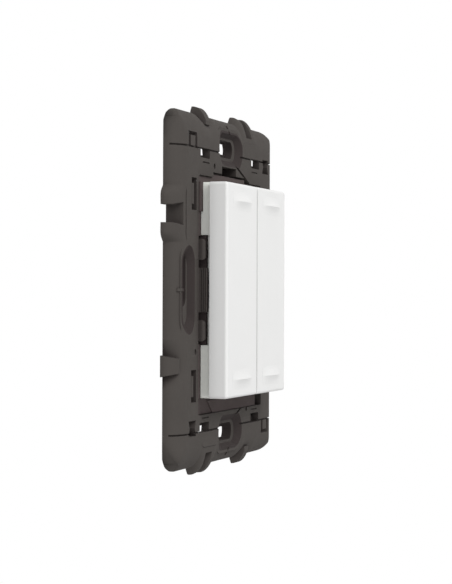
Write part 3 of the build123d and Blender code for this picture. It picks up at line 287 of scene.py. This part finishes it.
def silicone_material():
    """Soft grey silicone, slightly see-through, with a dusty bloom."""
    n = Nodes("silicone_soft")
    dust = n.noise(1.6, 5.0, 0.65)
    tone = n.mix(n.remap(dust, 0, 1), srgb(139, 141, 144), srgb(152, 154, 156))
    n.set(
        Base_Color=tone, Roughness=n.remap(dust, 0.5, 0.72), Subsurface_Weight=0.15,
        Subsurface_Radius=(0.0006, 0.0006, 0.0006), Normal=n.relief(dust, 0.004, 0.6),
    )
    return n.material


def winding_material():
    """Fine enamelled wire, turn beside turn round the core bar."""
    n = Nodes("winding_wire")
    wave = n.add(
        "ShaderNodeTexWave",
        {
            "Vector": n.position, "Scale": 1 / (WIRE_PITCH * MM * math.tau), "Distortion": 0.6,
            "Detail": 2.0, "Detail Scale": 1.2,
        },
        wave_type="BANDS", bands_direction="X", wave_profile="SIN",
    )
    turns = wave.outputs["Fac"]
    # Painted shade and highlight: each turn is darker in the grooves between turns and lighter on its
    # crown
    tone = n.mix(turns, srgb(96, 42, 22), srgb(196, 98, 52))
    n.set(
        Base_Color=tone, Metallic=0.85, Roughness=n.remap(n.noise(0.8), 0.26, 0.42), Coat_Weight=0.5,
        Coat_Roughness=0.2, Normal=n.relief(turns, 0.03),
    )
    return n.material


def chip_material():
    """Black moulded epoxy with fine grit."""
    n = Nodes("chip_epoxy")
    grit = n.noise(14.0, 3.0)
    tone = n.mix(n.remap(grit, 0, 1), srgb(26, 26, 28), srgb(44, 44, 46))
    n.set(Base_Color=tone, Roughness=n.remap(grit, 0.5, 0.68), Normal=n.relief(grit, 0.006, 0.8))
    return n.material


def slot_materials():
    """One material for each of the record's material slots.

    After name, colour and roughness, a moulded one may give its grain in cells per millimetre, grain
    depth, flow contrast, edge radius, specular level, painted shade colour and soft corners, and a metal
    one the stretch of its lines.
    """
    dark = srgb(79, 75, 72)
    # Painted shade colours for the gaps and recesses of the frame and of the keys
    dark_painted_shade = srgb(60, 54, 53)
    # Painted light: the housing's white is lifted above the keys' to brighten the ears, which stand in
    # shade
    ear_white_painted_light = srgb(246, 248, 242)
    white = srgb(237, 237, 236)
    white_painted_shade = srgb(112, 112, 110)
    return {
        "frame_plastic": moulded("frame_satin", dark, 0.8, 6.0, 0.005, 0.08, 0.18, 0.08, dark_painted_shade, True),
        "base_plastic": moulded("base_satin", srgb(84, 75, 74), 0.8, 6.0, 0.006, 0.08, 0.1, 0.08),
        "housing_plastic": moulded("housing_satin", ear_white_painted_light, 0.5, 6.0, 0.004, 0.02, 0.12, 0.2),
        "key_plastic": moulded("key_satin", white, 0.42, 8.0, 0.002, 0.012, 0.08, 0.2, white_painted_shade),
        "shaft_steel": metal("shaft_ground", (0.56, 0.56, 0.57, 1), 0.28, (1, 8, 8)),
        "screw_steel": metal("screw_zinc", (0.52, 0.52, 0.53, 1), 0.36),
        "board": circuit_material(),
        "silicone": silicone_material(),
        "contact_carbon": moulded("contact_pill", srgb(24, 24, 25), 0.7, 10.0, 0.006, 0.2, 0.05, 0.3),
        "contact_gold": metal("contact_plate", (0.86, 0.62, 0.26, 1), 0.24),
        "core_steel": metal("core_stamped", (0.42, 0.42, 0.43, 1), 0.4, (8, 1, 1)),
        "bobbin_plastic": moulded("bobbin_black", srgb(38, 38, 40), 0.5, 6.0, 0.005, 0.1),
        "winding_copper": winding_material(),
        "magnet_nickel": metal("magnet_plate", (0.60, 0.59, 0.56, 1), 0.2),
        "carrier_plastic": moulded("carrier_natural", srgb(216, 213, 204), 0.48, 6.0, 0.004, 0.04),
        "spring_steel": metal("spring_rolled", (0.55, 0.53, 0.50, 1), 0.27, (1, 9, 9)),
        "terminal_tin": metal("terminal_plate", (0.66, 0.66, 0.66, 1), 0.3),
        "chip_black": chip_material(),
        "crystal_can": metal("crystal_lid", (0.66, 0.66, 0.64, 1), 0.25, (1, 1, 6)),
        "capacitor_tan": moulded("capacitor_case", srgb(178, 142, 88), 0.55, 9.0, 0.006, 0.12),
        "antenna_copper": metal("antenna_wire_bare", (0.80, 0.42, 0.24, 1), 0.3, (6, 6, 1)),
    }


def dress(frame, materials):
    """Gives every CAD node its material."""
    slots = {part["node"]: part["material_slot"] for part in frame["record"]["subparts"]}
    for name, node in frame["nodes"].items():
        node.data.materials.clear()
        node.data.materials.append(materials[slots[name]])


def box_into(mesh, x, height, z):
    """Adds a block between two values each of X, height above the wall and Z, in millimetres."""
    place = Vector((x[0] + x[1], -height[0] - height[1], z[0] + z[1])) * MM / 2
    size = Vector((x[1] - x[0], height[1] - height[0], z[1] - z[0])) * MM
    bmesh.ops.create_cube(mesh, matrix=Matrix.LocRotScale(place, None, size))


def webs(material):
    """Thin walls and posts that close part of the frame's openings from behind, as one piece."""
    mesh = bmesh.new()
    for x, height, z in HALF_TURN_WEBS:
        box_into(mesh, x, height, z)
        box_into(mesh, (-x[1], -x[0]), height, (-z[1], -z[0]))
    for sx in (1, -1):
        for sz in (1, -1):
            post_x, post_z = (sorted(side * v for v in CORNER_POST) for side in (sx, sz))
            box_into(mesh, post_x, CORNER_POST_HEIGHT, post_z)
    box_into(mesh, *WINDOW_WEB)
    box_into(mesh, *BAY_WEB)
    data = bpy.data.meshes.new("opening_webs")
    mesh.to_mesh(data)
    mesh.free()
    piece = bpy.data.objects.new("opening_webs", data)
    bpy.context.scene.collection.objects.link(piece)
    data.materials.append(material)
    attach(piece, "switch")


def camera():
    """Camera at the photograph's place."""
    yaw, pitch, roll = (math.radians(a) for a in (YAW, PITCH, ROLL))
    back = Vector((-math.sin(yaw) * math.cos(pitch), -math.cos(yaw) * math.cos(pitch), math.sin(pitch)))
    right = Vector((math.cos(yaw), -math.sin(yaw), 0))
    up = back.cross(right)
    right_rolled = math.cos(roll) * right + math.sin(roll) * up
    up_rolled = math.cos(roll) * up - math.sin(roll) * right
    data = bpy.data.cameras.new("camera")
    data.lens, data.sensor_width = LENS, SENSOR
    data.clip_start, data.clip_end = 0.01, 20
    cam = bpy.data.objects.new("camera", data)
    bpy.context.scene.collection.objects.link(cam)
    place = (Vector(TARGET) + DISTANCE * back) * MM
    turn = Matrix((right_rolled, up_rolled, back)).transposed()
    cam.matrix_world = Matrix.Translation(place) @ turn.to_4x4()
    bpy.context.scene.camera = cam


def lamp(name, place, power):
    """Square soft light that looks at the object."""
    data = bpy.data.lights.new(name, "AREA")
    data.shape, data.size, data.energy = "SQUARE", LAMP_SIZE, power
    light = bpy.data.objects.new(name, data)
    bpy.context.scene.collection.objects.link(light)
    light.location = place
    light.rotation_euler = (-Vector(place)).to_track_quat("-Z", "Y").to_euler()


def paper_material():
    """Pale paper that the camera sees nearly as bright as the background, with the shadow kept."""
    n = Nodes("floor_paper")
    fibres = n.noise(0.05, 4.0)
    tone = n.mix(n.remap(fibres, 0, 1), srgb(236, 236, 236), srgb(242, 242, 242))
    n.set(Base_Color=tone, Roughness=0.8)
    white = n.add("ShaderNodeEmission")
    white.inputs["Color"].default_value = (1, 1, 1, 1)
    white.inputs["Strength"].default_value = 1.0
    seen = n.math("MULTIPLY", n.add("ShaderNodeLightPath").outputs["Is Camera Ray"], PAPER_WHITE)
    blend = n.add("ShaderNodeMixShader")
    n.put(blend.inputs["Fac"], seen)
    n.put(blend.inputs[1], n.shader.outputs["BSDF"])
    n.put(blend.inputs[2], white.outputs["Emission"])
    n.put(n.tree.nodes["Material Output"].inputs["Surface"], blend.outputs["Shader"])
    return n.material


def surroundings():
    """White room for the camera and in reflections, and a dimmer one that lights the object."""
    world = bpy.data.worlds.new("studio")
    bpy.context.scene.world = world
    world.use_nodes = True
    tree = world.node_tree
    tree.nodes.clear()
    path = tree.nodes.new("ShaderNodeLightPath")
    seen = tree.nodes.new("ShaderNodeMath")
    seen.operation, seen.use_clamp = "ADD", True
    tree.links.new(path.outputs["Is Camera Ray"], seen.inputs[0])
    mirrored = tree.nodes.new("ShaderNodeMath")
    mirrored.operation = "MAXIMUM"
    tree.links.new(path.outputs["Is Glossy Ray"], mirrored.inputs[0])
    tree.links.new(path.outputs["Is Transmission Ray"], mirrored.inputs[1])
    tree.links.new(mirrored.outputs[0], seen.inputs[1])
    room = tree.nodes.new("ShaderNodeBackground")
    room.inputs["Color"].default_value = (1, 1, 1, 1)
    room.inputs["Strength"].default_value = ROOM_LIGHT
    white = tree.nodes.new("ShaderNodeBackground")
    white.inputs["Color"].default_value = (1, 1, 1, 1)
    white.inputs["Strength"].default_value = 1.0
    mix = tree.nodes.new("ShaderNodeMixShader")
    tree.links.new(seen.outputs[0], mix.inputs["Fac"])
    tree.links.new(room.outputs[0], mix.inputs[1])
    tree.links.new(white.outputs[0], mix.inputs[2])
    out = tree.nodes.new("ShaderNodeOutputWorld")
    tree.links.new(mix.outputs[0], out.inputs["Surface"])


def studio():
    """White surroundings, soft lamps and a pale floor."""
    surroundings()
    lamp("front_light", FRONT_LAMP, FRONT_POWER)
    lamp("left_light", LEFT_LAMP, LEFT_POWER)
    bpy.ops.mesh.primitive_plane_add(size=2 * FLOOR_HALF, location=(0, 0, FLOOR_LEVEL))
    floor = bpy.context.object
    floor.name = "floor"
    floor.data.materials.append(paper_material())


def main():
    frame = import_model()
    materials = slot_materials()
    dress(frame, materials)
    webs(materials["frame_plastic"])
    camera()
    studio()
    bpy.context.scene.view_settings.view_transform = "Standard"


main()
